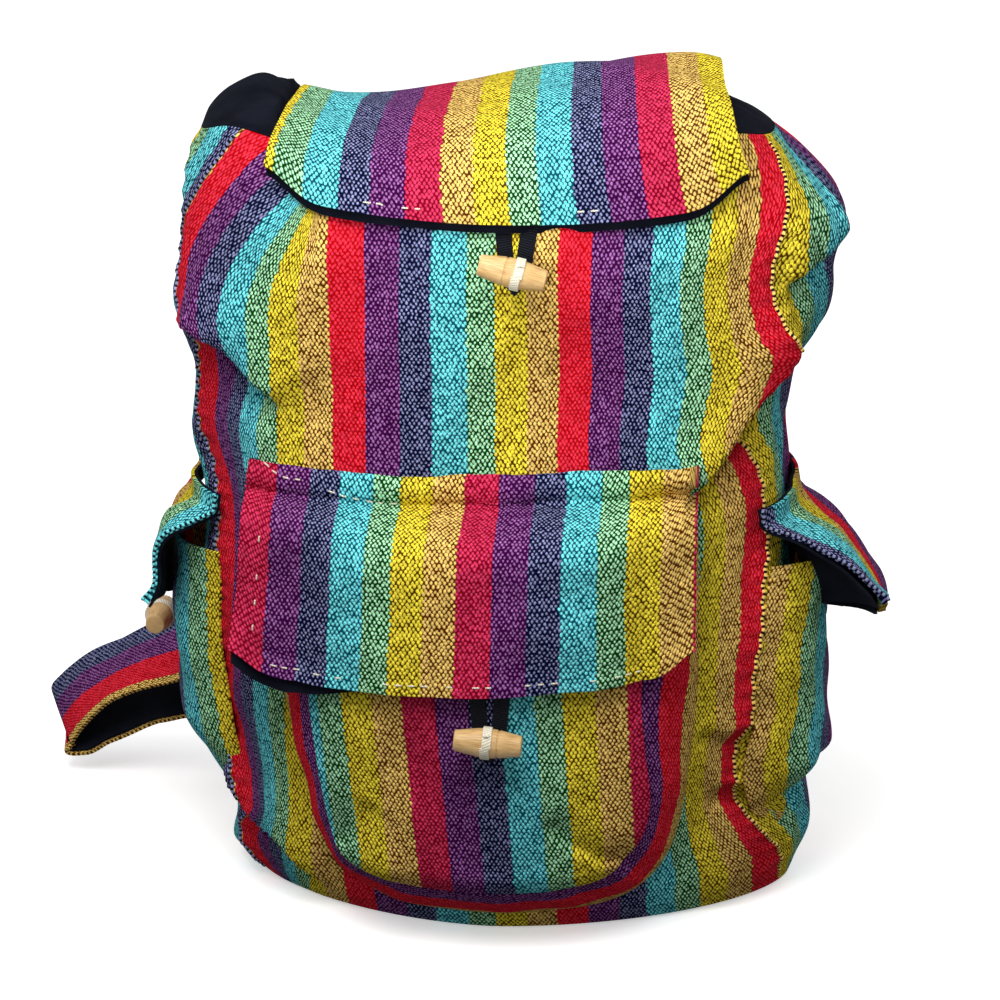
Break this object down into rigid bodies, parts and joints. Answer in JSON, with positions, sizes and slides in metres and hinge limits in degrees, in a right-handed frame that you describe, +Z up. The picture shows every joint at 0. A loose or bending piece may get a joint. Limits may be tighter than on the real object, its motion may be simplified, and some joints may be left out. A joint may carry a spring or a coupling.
{
  "type": "backpack",
  "caption": "Striped hand-woven cotton backpack, standing filled: gathered black mouth under a flap, front and side pockets with flaps, bamboo toggles on tape loops, shoulder straps",
  "frame": {"origin": "middle of the flat base on the floor", "axes": "+Z up, the front with the large pocket faces -Y, +X to the right as seen from the front"},
  "size_m": [0.4329, 0.3491, 0.405],
  "materials": {
    "striped_cotton": "plain-woven cotton in lengthwise stripes of yellow, mustard, red, purple, slate, cyan and green",
    "black_cotton": "smooth blue-black cotton",
    "black_tape": "ribbed black tape",
    "bamboo": "pale varnished bamboo",
    "white_thread": "white cotton thread"
  },
  "bodies": {
    "bag": {"front_panel": "striped_cotton", "left_side_panel": "striped_cotton", "right_side_panel": "striped_cotton", "base_panel": "striped_cotton", "top_flap": "striped_cotton", "front_pocket_panel": "striped_cotton", "front_pocket_gusset": "striped_cotton", "front_pocket_flap": "striped_cotton", "left_side_pocket": "striped_cotton", "right_side_pocket": "striped_cotton", "left_side_flap": "striped_cotton", "right_side_flap": "striped_cotton", "left_strap": "striped_cotton", "right_strap": "striped_cotton", "back_panel": "black_cotton", "mouth_collar": "black_cotton", "top_flap_lining": "black_cotton", "front_pocket_flap_lining": "black_cotton", "left_side_flap_lining": "black_cotton", "right_side_flap_lining": "black_cotton", "left_strap_lining": "black_cotton", "right_strap_lining": "black_cotton", "top_flap_loop": "black_tape", "front_pocket_loop": "black_tape", "left_side_loop": "black_tape", "right_side_loop": "black_tape", "top_toggle_shank": "white_thread", "front_pocket_toggle_shank": "white_thread", "left_side_toggle_shank": "white_thread", "right_side_toggle_shank": "white_thread"},
    "top_toggle": {"top_toggle": "bamboo", "top_toggle_thread": "white_thread"},
    "front_pocket_toggle": {"front_pocket_toggle": "bamboo", "front_pocket_toggle_thread": "white_thread"},
    "left_side_toggle": {"left_side_toggle": "bamboo", "left_side_toggle_thread": "white_thread"},
    "right_side_toggle": {"right_side_toggle": "bamboo", "right_side_toggle_thread": "white_thread"}
  },
  "joints": [
    {"name": "top_toggle_swivel", "type": "hinge", "parent": "bag", "child": "top_toggle", "pos_m": [0.012, -0.10324, 0.328], "axis": [0, -1, 0], "range_deg": [-90, 90]},
    {"name": "front_pocket_toggle_swivel", "type": "hinge", "parent": "bag", "child": "front_pocket_toggle", "pos_m": [0.004, -0.13865, 0.117], "axis": [0, -1, 0], "range_deg": [-90, 90]},
    {"name": "left_side_toggle_swivel", "type": "hinge", "parent": "bag", "child": "left_side_toggle", "pos_m": [-0.17286, 0.014, 0.119], "axis": [-1, 0, 0], "range_deg": [-90, 90]},
    {"name": "right_side_toggle_swivel", "type": "hinge", "parent": "bag", "child": "right_side_toggle", "pos_m": [0.16345, 0.016, 0.143], "axis": [1, 0, 0], "range_deg": [-90, 90]}
  ]
}
